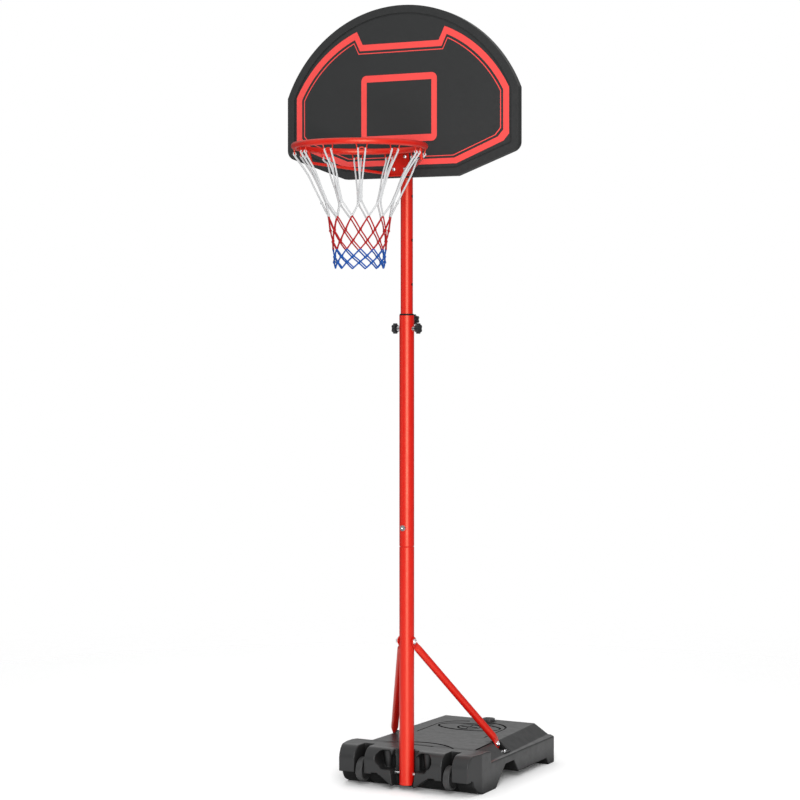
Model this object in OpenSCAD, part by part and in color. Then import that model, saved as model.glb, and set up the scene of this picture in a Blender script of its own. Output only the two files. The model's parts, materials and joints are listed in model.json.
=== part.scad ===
/* [Backboard] */
// Width of the board
board_w = 710; // [690:2:730]
// Height of the board from its lower edge to the top of the arch
board_h = 473; // [468:1:480]
// Depth of the board's outer frame
board_t = 21; // [19:0.5:23]
// Radius of the arched top
arch_r = 382; // [378:1:388]
// Height of the board's lower edge above the ground, at the highest setting
board_z = 1688; // [1680:1:1700]
// Distance from the pole's axis to the board's front
board_y = 41; // [41:0.5:44]
// Width of the raised outer frame
frame_w = 21; // [16:1:24]

/* [Rim and net] */
// Radius of the rim's centre line
rim_r = 173.2; // [165:0.5:180]
// Diameter of the rim's tube
rim_tube = 16.5; // [14:0.5:18]
// Distance from the pole's axis to the rim's centre
rim_y = 275.7; // [270:0.5:285]
// Height of the rim's centre line above the board's lower edge
rim_rise = 67.8; // [62:0.2:72]
// Number of net hooks
hook_count = 12; // [8:1:12]
// Thickness of the net
net_t = 3; // [2:0.5:4]

/* [Pole] */
// Outer diameter of the lower and middle tubes
pole_od = 41; // [40:0.5:42]
// Outer diameter of the upper tube
upper_od = 34; // [33:0.5:34.5]
// Wall of every tube
wall = 1.5; // [1.2:0.1:1.6]
// Height of the joint between the lower and middle tubes
joint_z = 673; // [650:1:690]
// Height of the middle tube's top
collar_z = 1310; // [1300:1:1320]
// Height of the two side locking screws
lock_z = 1274; // [1268:1:1276]
// Distance between two height settings
hole_pitch = 121.5; // [110:0.5:122]
// Number of height settings
settings = 4; // [2:1:4]
// Height of the upper tube's top
top_z = 1960; // [1930:5:1990]

/* [Base] */
// Half width of the tank at its front
front_half = 198; // [196:1:200]
// Half width of the tank at its back
back_half = 210; // [208:1:212]
// Distance from the pole's axis to the tank's back
tank_back = 557; // [550:1:565]
// Height of the tank's flat top
tank_h = 108; // [106:1:110]
// Wall of the blow-moulded tank
tank_wall = 4; // [3.5:0.5:5]
// Radius of a wheel
wheel_r = 33; // [30:0.5:34]
// Width of a wheel's tread
wheel_w = 19; // [16:0.5:20]
// Distance from the middle to the centre of a wheel
wheel_x = 134.5; // [134:0.5:135]
// Height of the wheel axle
axle_z = 47; // [46:0.5:48]
// Radius of the wheel axle
axle_r = 4; // [3.5:0.1:4.2]

/* [Struts] */
// Diameter of a strut
strut_od = 21; // [19:0.5:22]
// Height of the bolt through the pole
strut_z = 412; // [405:1:420]
// Distance from the pole's axis back to the lower strut bolts
strut_y = 249; // [245:1:251]
// Height of the lower strut bolts
strut_foot_z = 100; // [99:0.5:101]
// Distance from the middle to a strut's lower end
strut_x = 160.5; // [160:0.5:161]

/* [Hidden] */

fine = 96;
clearance = 0.06;
gap = 0.1;
pole_r = pole_od / 2;
upper_r = upper_od / 2;
rim_z = board_z + rim_rise;
rim_front = rim_y + rim_r + rim_tube / 2;
middle_y = (tank_back - rim_front) / 2;

red = [0.90, 0.17, 0.12];
black = [0.13, 0.13, 0.14];
zinc = [0.78, 0.79, 0.80];

// ---------- shared shapes ----------

// The assembly is drawn around the pole's axis and moved to the middle of its own footprint
module place() {
    translate([0, -middle_y, 0]) children();
}

// Draws its children on both sides of the middle
module both_sides() {
    children();
    mirror([1, 0, 0]) children();
}

// Extrudes an outline drawn in Y and Z across the width, between two X values
module along_x(x0, x1) {
    translate([x0, 0, 0]) rotate([90, 0, 90]) linear_extrude(x1 - x0) children();
}

// Extrudes an outline drawn in X and Z from front to back, between two Y values
module along_y(y0, y1) {
    translate([0, y1, 0]) rotate([90, 0, 0]) linear_extrude(y1 - y0) children();
}

// A round bar along X
module bar_x(r, x0, x1) {
    translate([x0, 0, 0]) rotate([0, 90, 0]) cylinder(r = r, h = x1 - x0, $fn = fine);
}

// A round bar along Y
module bar_y(r, y0, y1) {
    translate([0, y0, 0]) rotate([-90, 0, 0]) cylinder(r = r, h = y1 - y0, $fn = fine);
}

// A hexagon nut or bolt head along X
module hex_x(r, x0, x1) {
    translate([x0, 0, 0]) rotate([0, 90, 0]) cylinder(r = r, h = x1 - x0, $fn = 6);
}

// A hexagon nut along Y
module hex_y(r, y0, y1) {
    translate([0, y0, 0]) rotate([-90, 0, 0]) cylinder(r = r, h = y1 - y0, $fn = 6);
}

// A box between two corners
module block(low, high) {
    translate(low) cube(high - low);
}

// ---------- base tank ----------

cheek_r = 36;
tank_front = 28;
cheek_top = tank_h + 4;
fold_z = cheek_top - cheek_r;
lip_z = 40;
crease_z = 76;
slope_x = 168;
slope_out = 207;
taper = 2.8;
flare_y = 40;
recess_step = 6;
recess_front = 98;
recess_back = 262;
back_chamfer = 10;
belly_z = 20;
slot_in = 119;
slot_out = 150;
slot_back = 38;
pole_slot_r = pole_r + 1.5;
sill_z = 57;
pocket_in = 37;
pocket_back = 20;
notch_in = 151;
notch_front = 224;
notch_floor = 79;
filler_x = 16;
filler_y = 504;
filler_r = 15;
filler_rim = 3;

// Side view of the tank
module tank_side() {
    translate([cheek_r - tank_front, fold_z]) circle(r = cheek_r, $fn = fine);
    polygon([[-tank_front, fold_z], [-tank_front, lip_z], [-12, lip_z], [-12, lip_z + 8],
        [-2, lip_z + 8], [-1, 42], [5, 25], [20, 11], [47, 0], [144, 0], [160, belly_z],
        [485, belly_z], [500, 0], [tank_back, 0], [tank_back, crease_z + 2],
        [tank_back - back_chamfer, tank_h], [recess_front + 8, tank_h], [recess_front - 30, cheek_top],
        [cheek_r - tank_front, cheek_top]]);
}

// The tank from above, drawn in by a margin
module tank_plan(margin = 0) {
    corner = 14;
    front = -tank_front + margin;
    back = tank_back - margin;
    half = back_half - margin;
    polygon([[-front_half + margin, front], [front_half - margin, front], [half, flare_y],
        [half, back - corner], [half - corner, back], [corner - half, back], [-half, back - corner],
        [-half, flare_y]]);
}

// The space outside the sloping shoulder on the right, moved in by a margin and down by a drop.
// It leans in towards the back
module shoulder(y0, y1, margin = 0, drop = 0) {
    x0 = -margin;
    x1 = slope_out - slope_x - margin;
    translate([slope_x, recess_front, -drop]) rotate([0, 0, taper])
        along_y(y0 - recess_front, y1 - recess_front)
        polygon([[x0 - 3.9, tank_h + 3], [x1, crease_z + 2], [x1 + 34, crease_z], [x1 + 34, tank_h + 20],
            [x0 - 3.9, tank_h + 20]]);
}

// The arch under the tank's side, grown by a margin
module side_arch(margin = 0) {
    polygon([[133 - margin, -1], [155 - margin, 18], [183 - margin, 43], [198 - margin, 56 + margin],
        [255 + margin, 56 + margin], [284 + margin, belly_z], [284 + margin, -1]]);
}

// The window beside the pole, with its rounded top
module pocket() {
    translate([66, 86]) circle(r = 21, $fn = fine);
    translate([53, 91]) circle(r = 16, $fn = fine);
    polygon([[pocket_in, sill_z], [68, sill_z], [87, 86], [66, 107], [53, 107], [pocket_in, 91]]);
}

// The hollow inside the tank, or its filling when the wall is given a little more
module tank_hollow(skin, top) {
    difference() {
        intersection() {
            along_x(-back_half, back_half) polygon([[46 + skin, skin], [144 - skin, skin],
                [160 - skin, belly_z + skin], [485 + skin, belly_z + skin], [500 + skin, skin],
                [tank_back - skin, skin], [tank_back - skin, crease_z], [tank_back - back_chamfer - 3, top],
                [46 + skin, top]]);
            linear_extrude(tank_h) tank_plan(skin);
        }
        both_sides() {
            shoulder(-20, tank_back + 30, recess_step + skin, skin);
            along_x(146 - skin + 4, back_half + 1) side_arch(skin);
            block([notch_in - skin, notch_front - skin, notch_floor - skin],
                [back_half, recess_back + skin, tank_h]);
        }
    }
}

module tank_block() {
    difference() {
        union() {
            intersection() {
                along_x(-back_half, back_half) tank_side();
                linear_extrude(cheek_top + 5) tank_plan();
            }
            // keel that carries the pole's foot
            along_y(-tank_front, 60) polygon([[-77, 60], [-77, 44], [-36, 14], [36, 14], [77, 44], [77, 60]]);
            translate([filler_x, filler_y, tank_h - 2]) cylinder(r = filler_r + 7, h = 2 + filler_rim, $fn = fine);
        }
        both_sides() {
            shoulder(recess_front, tank_back + 30);
            shoulder(recess_front, recess_back, recess_step);
            along_x(150, back_half + 1) side_arch();
            block([slot_in, -tank_front - 9, -1], [slot_out, slot_back, cheek_top + 9]);
            along_y(-tank_front - 9, pocket_back) pocket();
            block([77, -tank_front - 1, lip_z - 1], [98, -12, lip_z + 5]);
            block([notch_in, notch_front, notch_floor], [back_half + 1, recess_back, tank_h + 9]);
        }
        // the pole stands in an open slot
        block([-pocket_in, -tank_front - 9, sill_z], [pocket_in, 4, cheek_top + 9]);
        along_y(-tank_front - 9, 4) polygon([[-38, sill_z + 1], [-30, 0], [30, 0], [38, sill_z + 1]]);
        translate([0, 0, -1]) cylinder(r = pole_slot_r, h = cheek_top + 9, $fn = fine);
        block([-pole_slot_r, -tank_front - 9, -1], [pole_slot_r, 0, cheek_top + 9]);
    }
    both_sides() translate([62, 11, sill_z - 1]) cylinder(r1 = 8, r2 = 14, h = 107.5 - sill_z, $fn = fine);
}

module base_tank() {
    color(black) place() difference() {
        tank_block();
        tank_hollow(tank_wall, tank_h - tank_wall);
        translate([0, 0, axle_z]) bar_x(axle_r + gap, -slot_out - 7, slot_out + 7);
        translate([filler_x, filler_y, tank_h - 10]) cylinder(r = filler_r, h = 30, $fn = fine);
        both_sides() for (y = screw_ys) {
            translate([screw_x, y, notch_floor - 20]) cylinder(r = screw_r + gap, h = 30, $fn = 32);
        }
    }
}

module sand_ballast() {
    color([0.76, 0.66, 0.48]) place() tank_hollow(tank_wall + 0.5, tank_h - 18);
}

// ---------- filler cap ----------

cap_r = 19;
cap_base = tank_h + filler_rim;

module cap_gasket() {
    color([0.3, 0.3, 0.3]) place() translate([filler_x, filler_y, cap_base + gap]) difference() {
        cylinder(r = cap_r - 1, h = 1.2, $fn = fine);
        translate([0, 0, -1]) cylinder(r = filler_r + 0.6, h = 4, $fn = fine);
    }
}

module filler_cap() {
    ribs = 16;
    color(black) place() translate([filler_x, filler_y, cap_base + gap + 1.2 + gap]) {
        difference() {
            cylinder(r = cap_r, h = 6, $fn = fine);
            for (turn = [0 : 360 / ribs : 359]) {
                rotate([0, 0, turn]) translate([cap_r + 0.6, 0, 1]) cylinder(r = 1.5, h = 9, $fn = 32);
            }
            translate([0, 0, 4.6]) difference() {
                cylinder(r = 14, h = 3, $fn = fine);
                block([-12, -2.5, -1], [12, 2.5, 4]);
            }
        }
        translate([0, 0, -8]) cylinder(r = filler_r - clearance, h = 9, $fn = fine);
    }
}

// ---------- wheels ----------

hub_half = 12;

module wheel_axle() {
    color(zinc) place() translate([0, 0, axle_z]) bar_x(axle_r, -slot_out - 6, slot_out + 6);
}

module axle_washers() {
    color(zinc) place() translate([0, 0, axle_z]) both_sides() difference() {
        union() {
            bar_x(8, slot_in + gap, wheel_x - hub_half - 0.3);
            bar_x(8, wheel_x + hub_half + 0.3, slot_out - gap);
        }
        bar_x(axle_r + gap, slot_in - 1, slot_out + 1);
    }
}

module wheel(x) {
    half = wheel_w / 2;
    bore = axle_r + clearance;
    color(black) place() translate([x, 0, axle_z]) rotate([0, 90, 0]) rotate_extrude($fn = fine)
        polygon([[bore, -hub_half], [9, -hub_half], [10, -half + 7], [25, -half + 7], [27, -half],
            [wheel_r - 2, -half], [wheel_r, -half + 2], [wheel_r, half - 2], [wheel_r - 2, half],
            [27, half], [25, half - 7], [10, half - 7], [9, hub_half], [bore, hub_half]]);
}

// ---------- lower and middle pole ----------

foot_z = 17;
spigot_r = pole_r - wall - gap;
spigot_h = 97;
screw_z = joint_z + 52;
joint_screw_r = 3;

module lower_pole() {
    color(red) place() difference() {
        rotate_extrude($fn = fine) polygon([[pole_r, foot_z], [pole_r, joint_z - 1.6],
            [pole_r - 1.6, joint_z], [spigot_r, joint_z], [spigot_r, joint_z + spigot_h],
            [spigot_r - wall, joint_z + spigot_h], [spigot_r - wall, joint_z - 5],
            [pole_r - wall, joint_z - 9], [pole_r - wall, foot_z]]);
        // the back of the foot is cut away at a slant
        along_x(-30, 30) polygon([[-12, foot_z - 6], [26, 76], [40, 76], [40, foot_z - 6]]);
        translate([0, 0, axle_z]) bar_x(axle_r + gap, -30, 30);
        translate([0, 0, strut_z]) bar_x(bolt_r + gap, -30, 30);
        translate([0, 0, screw_z]) bar_y(joint_screw_r + gap, -30, 30);
    }
}

module middle_pole() {
    low = joint_z + 0.4;
    color(red) place() difference() {
        rotate_extrude($fn = fine) polygon([[pole_r - wall, low], [pole_r - 1.4, low], [pole_r, low + 1.6],
            [pole_r, collar_z], [pole_r - wall, collar_z]]);
        translate([0, 0, screw_z]) bar_y(joint_screw_r + gap, -30, 30);
        translate([0, 0, lock_z]) bar_x(stud_r + 0.4, -30, 30);
        translate([0, 0, clamp_z]) bar_y(stud_r + 0.4, 0, 30);
    }
}

module joint_screw() {
    color(zinc) place() translate([0, 0, screw_z]) {
        bar_y(joint_screw_r, -pole_r - 1, pole_r + 8);
        difference() {
            bar_y(8, -pole_r - 5, -pole_r + 3);
            cylinder(r = pole_r + gap, h = 40, center = true, $fn = fine);
            bar_y(3.2, -pole_r - 6, -pole_r - 3);
        }
    }
}

module joint_nut() {
    color(zinc) place() translate([0, 0, screw_z]) difference() {
        hex_y(6, pole_r - 2, pole_r + 6);
        cylinder(r = pole_r + gap, h = 40, center = true, $fn = fine);
        bar_y(joint_screw_r + gap, pole_r - 4, pole_r + 9);
    }
}

// ---------- height lock ----------

stud_r = 4;
clamp_z = lock_z + 25;
boss_out = pole_r + 6.5;
stud_tip = upper_r + 0.3;
knob_in = 8;
knob_t = 12;

module guide_sleeve() {
    inner = upper_r + clearance;
    outer = pole_r - wall - 0.05;
    color(black) place() difference() {
        rotate_extrude($fn = fine) polygon([[inner, collar_z - 22], [outer, collar_z - 22],
            [outer, collar_z + 0.1], [pole_r - 0.3, collar_z + 0.1], [pole_r - 0.3, collar_z + 2],
            [pole_r - 1.3, collar_z + 3], [inner, collar_z + 3]]);
        translate([0, 0, clamp_z]) bar_y(stud_r + 0.4, 0, 30);
    }
}

// A threaded boss welded on the tube, its axis along X
module boss() {
    difference() {
        bar_x(8, pole_r - 4, boss_out);
        cylinder(r = pole_r + 0.05, h = 40, center = true, $fn = fine);
        bar_x(stud_r + clearance, pole_r - 5, boss_out + 1);
    }
}

module lock_bosses() {
    color(red) place() {
        translate([0, 0, lock_z]) both_sides() boss();
        translate([0, 0, clamp_z]) rotate([0, 0, 90]) boss();
    }
}

module stud(turn, z, extra) {
    color(zinc) place() translate([0, 0, z]) rotate([0, 0, turn])
        bar_x(stud_r, stud_tip, pole_r + knob_in + knob_t - 3 + extra);
}

// A star knob along X, its foot towards the pole
module knob(turn, z, extra) {
    lobes = 6;
    foot = pole_r + knob_in - 0.6 + extra;
    face = pole_r + knob_in + knob_t + extra;
    color(black) place() translate([0, 0, z]) rotate([0, 0, turn]) difference() {
        union() {
            bar_x(8, foot, foot + 5);
            bar_x(14.5, foot + 3, face);
        }
        for (lobe = [0 : 360 / lobes : 359]) {
            rotate([lobe, 0, 0]) translate([0, 18, 0]) bar_x(6.2, foot + 2, face + 1);
        }
        bar_x(stud_r + clearance, foot - 1, face - 2.6);
    }
}

// ---------- struts ----------

bolt_r = 4;
tab_len = 30;
tab_t = 3;
tab_w = 24;
top_x = pole_r + gap + tab_t / 2;
strut_drop = strut_z - strut_foot_z;
side_angle = atan2(strut_drop, strut_y);
reach_y = cos(side_angle) * tab_len;
reach_z = sin(side_angle) * tab_len;

// One flattened end of a strut: an eye at the origin and a tab that leads back and down
module strut_tab() {
    rotate([side_angle, 0, 0]) {
        bar_x(tab_w / 2, -tab_t / 2, tab_t / 2);
        block([-tab_t / 2, 0, 0.6 - tab_w / 2], [tab_t / 2, tab_len + 6, tab_w / 2 - 0.6]);
    }
}

// A strut from its upper eye to its lower eye, each end drawn in to meet its flat tab
module strut_right() {
    upper = [top_x, reach_y, strut_z - reach_z];
    lower = [strut_x, strut_y - reach_y, strut_foot_z + reach_z];
    run = lower - upper;
    length = norm(run);
    turn = atan2(run[1], run[0]);
    tilt = acos(run[2] / length);
    ease = 26;
    tip_r = 4;
    color(red) place() difference() {
        union() {
            translate([top_x, 0, strut_z]) mirror([0, 0, 1]) strut_tab();
            translate([strut_x, strut_y, strut_foot_z]) mirror([0, 1, 0]) strut_tab();
            translate(upper) rotate([0, 0, turn]) rotate([0, tilt, 0]) rotate_extrude($fn = fine)
                polygon([[0, -1], [tip_r, -1], [strut_od / 2, ease], [strut_od / 2, length - ease],
                    [tip_r, length + 1], [0, length + 1]]);
        }
        translate(upper) rotate([0, 0, turn]) rotate([0, tilt, 0]) translate([0, 0, ease + 3])
            cylinder(d = strut_od - 2 * wall, h = length - 2 * ease - 6, $fn = fine);
        translate([0, 0, strut_z]) bar_x(bolt_r + gap, 0, 40);
        translate([0, strut_y, strut_foot_z]) bar_x(bolt_r + gap, strut_x - 9, strut_x + 9);
    }
}

module strut_left() {
    mirror([1, 0, 0]) strut_right();
}

module strut_top_bolt() {
    face = pole_r + gap + tab_t + gap;
    color(zinc) place() translate([0, 0, strut_z]) {
        bar_x(bolt_r, -face - 9, face + 1);
        bar_x(8, face, face + 4.5);
    }
}

module strut_top_nut() {
    face = pole_r + gap + tab_t + gap;
    color(zinc) place() translate([0, 0, strut_z]) difference() {
        hex_x(7.5, -face - 6.5, -face);
        bar_x(bolt_r + gap, -face - 9, -face + 1);
    }
}

foot_face = strut_x + tab_t / 2 + gap;
tab_inner = strut_x - tab_t / 2 - gap;
screw_r = 2.5;
screw_x = 182;
screw_ys = [233, 253];

module strut_bracket_right() {
    plate = 3;
    back = tab_inner - plate;
    color(black) place() difference() {
        union() {
            along_x(back, tab_inner) polygon([[strut_y - 16, notch_floor + gap], [strut_y + 12, notch_floor + gap],
                [strut_y + 12, strut_foot_z + 4], [strut_y + 5, strut_foot_z + 11], [strut_y - 5, strut_foot_z + 11],
                [strut_y - 16, strut_foot_z]]);
            block([back, notch_front + 2, notch_floor + gap], [194, recess_back - 1, notch_floor + gap + plate]);
        }
        translate([0, strut_y, strut_foot_z]) bar_x(bolt_r + gap, back - 1, tab_inner + 1);
        for (y = screw_ys) {
            translate([screw_x, y, notch_floor - 1]) cylinder(r = screw_r + gap, h = 9, $fn = 32);
        }
    }
}

module strut_bracket_left() {
    mirror([1, 0, 0]) strut_bracket_right();
}

module bracket_screws() {
    color(zinc) place() both_sides() for (y = screw_ys) {
        translate([screw_x, y, notch_floor + 3 + 2 * gap]) {
            cylinder(r = 5, h = 2.6, $fn = 48);
            translate([0, 0, -7]) cylinder(r = screw_r, h = 8, $fn = 32);
        }
    }
}

module strut_foot_bolts() {
    color(zinc) place() translate([0, strut_y, strut_foot_z]) both_sides() {
        bar_x(8, foot_face, foot_face + 5);
        bar_x(bolt_r, tab_inner - 5.6, foot_face + 1);
    }
}

module strut_foot_nuts() {
    nut_in = tab_inner - 3 - gap - 3.4;
    color(zinc) place() translate([0, strut_y, strut_foot_z]) both_sides() difference() {
        hex_x(7, nut_in, nut_in + 3.4);
        bar_x(bolt_r + gap, nut_in - 1, nut_in + 5);
    }
}

// ---------- upper pole ----------

travel = (settings - 1) * hole_pitch;
upper_low = lock_z - 94;

module upper_pole() {
    color(red) place() difference() {
        translate([0, 0, upper_low]) cylinder(r = upper_r, h = top_z - upper_low, $fn = fine);
        translate([0, 0, upper_low - 1]) cylinder(r = upper_r - wall, h = top_z - upper_low + 2, $fn = fine);
        for (step = [0 : settings - 1]) {
            translate([0, 0, lock_z + step * hole_pitch]) bar_x(4.4, -30, 30);
        }
    }
}

module pole_glide() {
    color(black) place() translate([0, 0, upper_low + 4]) difference() {
        cylinder(r = pole_r - wall - clearance, h = 22, $fn = fine);
        translate([0, 0, -1]) cylinder(r = upper_r + 0.02, h = 24, $fn = fine);
    }
}

module pole_top_cap() {
    color(black) place() translate([0, 0, top_z + 0.05]) {
        cylinder(r = upper_r, h = 4, $fn = fine);
        translate([0, 0, -18]) cylinder(r = upper_r - wall - 0.05, h = 19, $fn = fine);
    }
}

// ---------- backboard ----------

half_w = board_w / 2;
arch_mid = board_h - arch_r;
panel_step = 2;
panel_t = 4.5;
groove_w = 4.5;
groove_depth = 2.2;
back_y = board_t - board_y;
face_y = panel_step - board_y;

// The board's outline in X and Z above its lower edge, drawn in by a margin
module board_outline(margin = 0) {
    r = 27 - min(margin, 20);
    lower_x = 172 - margin * 0.18;
    corner_z = 67.4;
    slant = atan2(corner_z, half_w - 172);
    drop = r * tan((90 - slant) / 2);
    intersection() {
        translate([0, arch_mid]) circle(r = arch_r - margin, $fn = 180);
        union() {
            polygon([[-lower_x, margin], [lower_x, margin],
                [half_w - margin - drop * cos(slant), corner_z + margin * 0.72 - drop * sin(slant)],
                [half_w - margin - r, corner_z + margin * 0.72 + drop], [half_w - margin - r, board_h],
                [margin + r - half_w, board_h], [margin + r - half_w, corner_z + margin * 0.72 + drop],
                [margin - half_w + drop * cos(slant), corner_z + margin * 0.72 - drop * sin(slant)]]);
            for (side = [-1, 1]) {
                translate([side * (half_w - margin - r), corner_z + margin * 0.72 + drop]) circle(r = r, $fn = fine);
                translate([side * (half_w - margin - r / 2) - r / 2, corner_z + margin * 0.72 + drop])
                    square([r, board_h]);
            }
        }
    }
}

// Extrudes a board outline between two distances behind the pole's axis
module board_slice(y0, y1) {
    translate([0, 0, board_z]) along_y(y0, y1) children();
}

bolt_x = 17;
bolt_zs = [board_z + 22.5, board_z + 56.5];
pad_half = 45;
pad_top = 88;
upper_bolt_x = 30;
upper_zs = [board_z + 200, board_z + 244];

module backboard() {
    rib = 2.4;
    color(black) place() difference() {
        union() {
            board_slice(-board_y, back_y) difference() {
                board_outline();
                board_outline(frame_w);
            }
            board_slice(face_y + groove_depth, face_y + panel_t) board_outline(frame_w - 1);
            board_slice(face_y, face_y + groove_depth + 1) board_outline(frame_w + groove_w);
            // stiffening ribs behind the panel
            intersection() {
                board_slice(face_y + panel_t - 1, back_y) board_outline(frame_w - 1);
                union() {
                    for (x = [-288 : 72 : 288]) {
                        block([x - rib / 2, -board_y, board_z], [x + rib / 2, back_y, board_z + board_h]);
                    }
                    for (z = [64 : 72 : 424]) {
                        block([-half_w, -board_y, board_z + z], [half_w, back_y, board_z + z + rib]);
                    }
                }
            }
            // solid pads under the rim bracket and the upper plate
            block([-pad_half, -board_y, board_z + 2], [pad_half, back_y, board_z + pad_top]);
            block([-pad_half, face_y + 1, board_z + 188], [pad_half, back_y, board_z + 256]);
        }
        for (side = [-1, 1]) {
            for (z = bolt_zs) {
                translate([side * bolt_x, 0, z]) bar_y(3 + gap, -board_y - 1, back_y + 1);
            }
            for (z = upper_zs) {
                translate([side * upper_bolt_x, 0, z]) bar_y(2.5 + gap, back_y - 14, back_y + 1);
            }
        }
    }
}

// The printed border's outline, drawn in by a margin, with the notch at its top
module border_outline(margin) {
    lower_x = 170.6 - margin * 0.4;
    low = 33.5 + margin * 0.9;
    side_x = 326.6 - margin;
    corner_z = 96 + margin * 0.65;
    notch_z = 370.5 - margin;
    notch_half = 117 + margin * 0.5;
    difference() {
        intersection() {
            translate([0, 67.3]) circle(r = 366 - margin * 1.05, $fn = 180);
            polygon([[-lower_x, low], [lower_x, low], [side_x - 16, corner_z - 6.4], [side_x, corner_z + 12],
                [side_x, board_h], [-side_x, board_h], [-side_x, corner_z + 12], [16 - side_x, corner_z - 6.4]]);
        }
        polygon([[-notch_half, notch_z], [notch_half, notch_z], [notch_half + 37, notch_z + 76],
            [-notch_half - 37, notch_z + 76]]);
    }
}

print_t = 0.4;

// A print lies on the panel's face, and leaves out the pad under the rim bracket
module print_slice() {
    difference() {
        board_slice(face_y - print_t, face_y - 0.01) children();
        block([-pad_half - 1, -board_y - 1, board_z], [pad_half + 1, face_y + 1, board_z + pad_top + 1]);
    }
}

module court_print() {
    color(red) place() print_slice() {
        difference() {
            border_outline(0);
            border_outline(17);
        }
        difference() {
            border_outline(23.5);
            border_outline(26);
        }
    }
}

// A rectangle with rounded corners, from its lower left corner
module round_rect(x, z, w, h, r) {
    for (cx = [x + r, x + w - r]) {
        for (cz = [z + r, z + h - r]) {
            translate([cx, cz]) circle(r = r, $fn = 48);
        }
    }
    translate([x + r, z]) square([w - 2 * r, h]);
    translate([x, z + r]) square([w, h - 2 * r]);
}

module target_print() {
    color(red) place() print_slice() difference() {
        round_rect(-121, 97.5, 232.5, 186.8, 16);
        translate([-104.3, 116.5]) square([199.4, 149]);
    }
}

// ---------- board mounts ----------

plate_t = 2.9;
plate_y = back_y + gap;

module mount_plate(low, high, half, x, zs, r) {
    color(black) place() difference() {
        block([-half, plate_y, low], [half, plate_y + plate_t, high]);
        for (side = [-1, 1]) {
            for (z = zs) {
                translate([side * x, 0, z]) bar_y(r + gap, plate_y - 1, plate_y + plate_t + 1);
            }
        }
        cylinder(r = upper_r + 0.05, h = 3000, $fn = fine);
    }
}

module lower_mount_plate() {
    mount_plate(board_z + 6, board_z + 74, 38, bolt_x, bolt_zs, 3);
}

module upper_mount_plate() {
    mount_plate(board_z + 186, board_z + 258, 42, upper_bolt_x, upper_zs, 2.5);
}

module upper_mount_screws() {
    color(zinc) place() for (side = [-1, 1]) {
        for (z = upper_zs) {
            translate([side * upper_bolt_x, 0, z]) {
                bar_y(2.5, back_y - 12, plate_y + plate_t + 1);
                bar_y(5, plate_y + plate_t + 0.05, plate_y + plate_t + 3);
            }
        }
    }
}

// ---------- rim ----------

bracket_t = 3;
bracket_y = -board_y - gap;
bracket_low = board_z + 3;
bracket_top = rim_z + 6;
ring_back = rim_r + rim_tube / 2 - rim_y;
wire_r = 1.6;

// The rim's outer shape, grown a little
module rim_torus(extra = 0) {
    translate([0, -rim_y, rim_z]) rotate_extrude($fn = 180) translate([rim_r, 0])
        circle(r = rim_tube / 2 + extra, $fn = fine);
}

module rim_ring() {
    color(red) place() difference() {
        rim_torus();
        rim_torus(-2);
    }
}

module rim_bracket() {
    lip = 15;
    color(red) place() difference() {
        union() {
            along_y(bracket_y - bracket_t, bracket_y) polygon([[-35, bracket_low], [35, bracket_low],
                [26, bracket_top], [-26, bracket_top]]);
            // folded lip along the lower edge
            block([-35, bracket_y - lip, bracket_low], [35, bracket_y - 1, bracket_low + bracket_t]);
            // tongue with shallow flanges that carries the ring
            block([-24, ring_back - 6, rim_z - 2], [24, bracket_y - 1, rim_z + 2]);
            both_sides() along_x(22, 25) polygon([[bracket_y - 1, rim_z + 2], [ring_back - 4, rim_z + 2],
                [ring_back - 4, rim_z - 3], [bracket_y - 1, rim_z - 5]]);
        }
        rim_torus(0.05);
        for (side = [-1, 1]) {
            for (z = bolt_zs) {
                translate([side * bolt_x, 0, z]) bar_y(3 + gap, bracket_y - 9, bracket_y + 1);
            }
        }
    }
}

module bracket_bolts() {
    front = bracket_y - bracket_t - gap;
    color(zinc) place() for (side = [-1, 1]) {
        for (z = bolt_zs) {
            translate([side * bolt_x, 0, z]) {
                bar_y(3, front - 1, plate_y + plate_t + 4.2);
                bar_y(5.5, front - 3.4, front);
            }
        }
    }
}

module bracket_nuts() {
    nut_y = plate_y + plate_t + gap;
    color(zinc) place() for (side = [-1, 1]) {
        for (z = bolt_zs) {
            translate([side * bolt_x, 0, z]) difference() {
                hex_y(5, nut_y, nut_y + 3.6);
                bar_y(3 + gap, nut_y - 1, nut_y + 6);
            }
        }
    }
}

brace_r = 4;
brace_bend = [166, -241, -36];
brace_top = [rim_r - 5, 22 - rim_y, -4];
brace_foot = [31, -board_y - 9, 3 - rim_rise + bracket_t + brace_r + 0.4];

// A round bar between two points
module rod(from, to, r) {
    run = to - from;
    translate(from) rotate([0, acos(run[2] / norm(run)), atan2(run[1], run[0])])
        cylinder(r = r, h = norm(run), $fn = 48);
}

module rim_brace_right() {
    color(red) place() difference() {
        translate([0, 0, rim_z]) {
            rod(brace_top, brace_bend, brace_r);
            translate(brace_bend) sphere(r = brace_r + 0.15, $fn = 48);
            rod(brace_bend, brace_foot, brace_r);
            translate(brace_foot) sphere(r = brace_r + 0.15, $fn = 48);
        }
        rim_torus(0.05);
    }
}

module rim_brace_left() {
    mirror([1, 0, 0]) rim_brace_right();
}

module net_hooks() {
    loop_r = 8;
    color(red) place() difference() {
        translate([0, -rim_y, rim_z]) for (hook = [0 : hook_count - 1]) {
            rotate([0, 0, hook * 360 / hook_count]) translate([rim_r, 0, -rim_tube / 2])
                rotate([90, 0, 90]) rotate_extrude(angle = 360, $fn = 64) translate([loop_r, 0])
                    circle(r = wire_r, $fn = 24);
        }
        rim_torus(0.05);
        translate([0, 0, rim_z + 5]) cylinder(r = 900, h = 40);
    }
}

// ---------- net ----------

// Radius of the net at each drop below the rim
net_shape = [[21, 163.5], [38, 149], [85, 130], [150, 100], [187, 84], [223, 77], [273, 69.5], [324, 65.5]];

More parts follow.
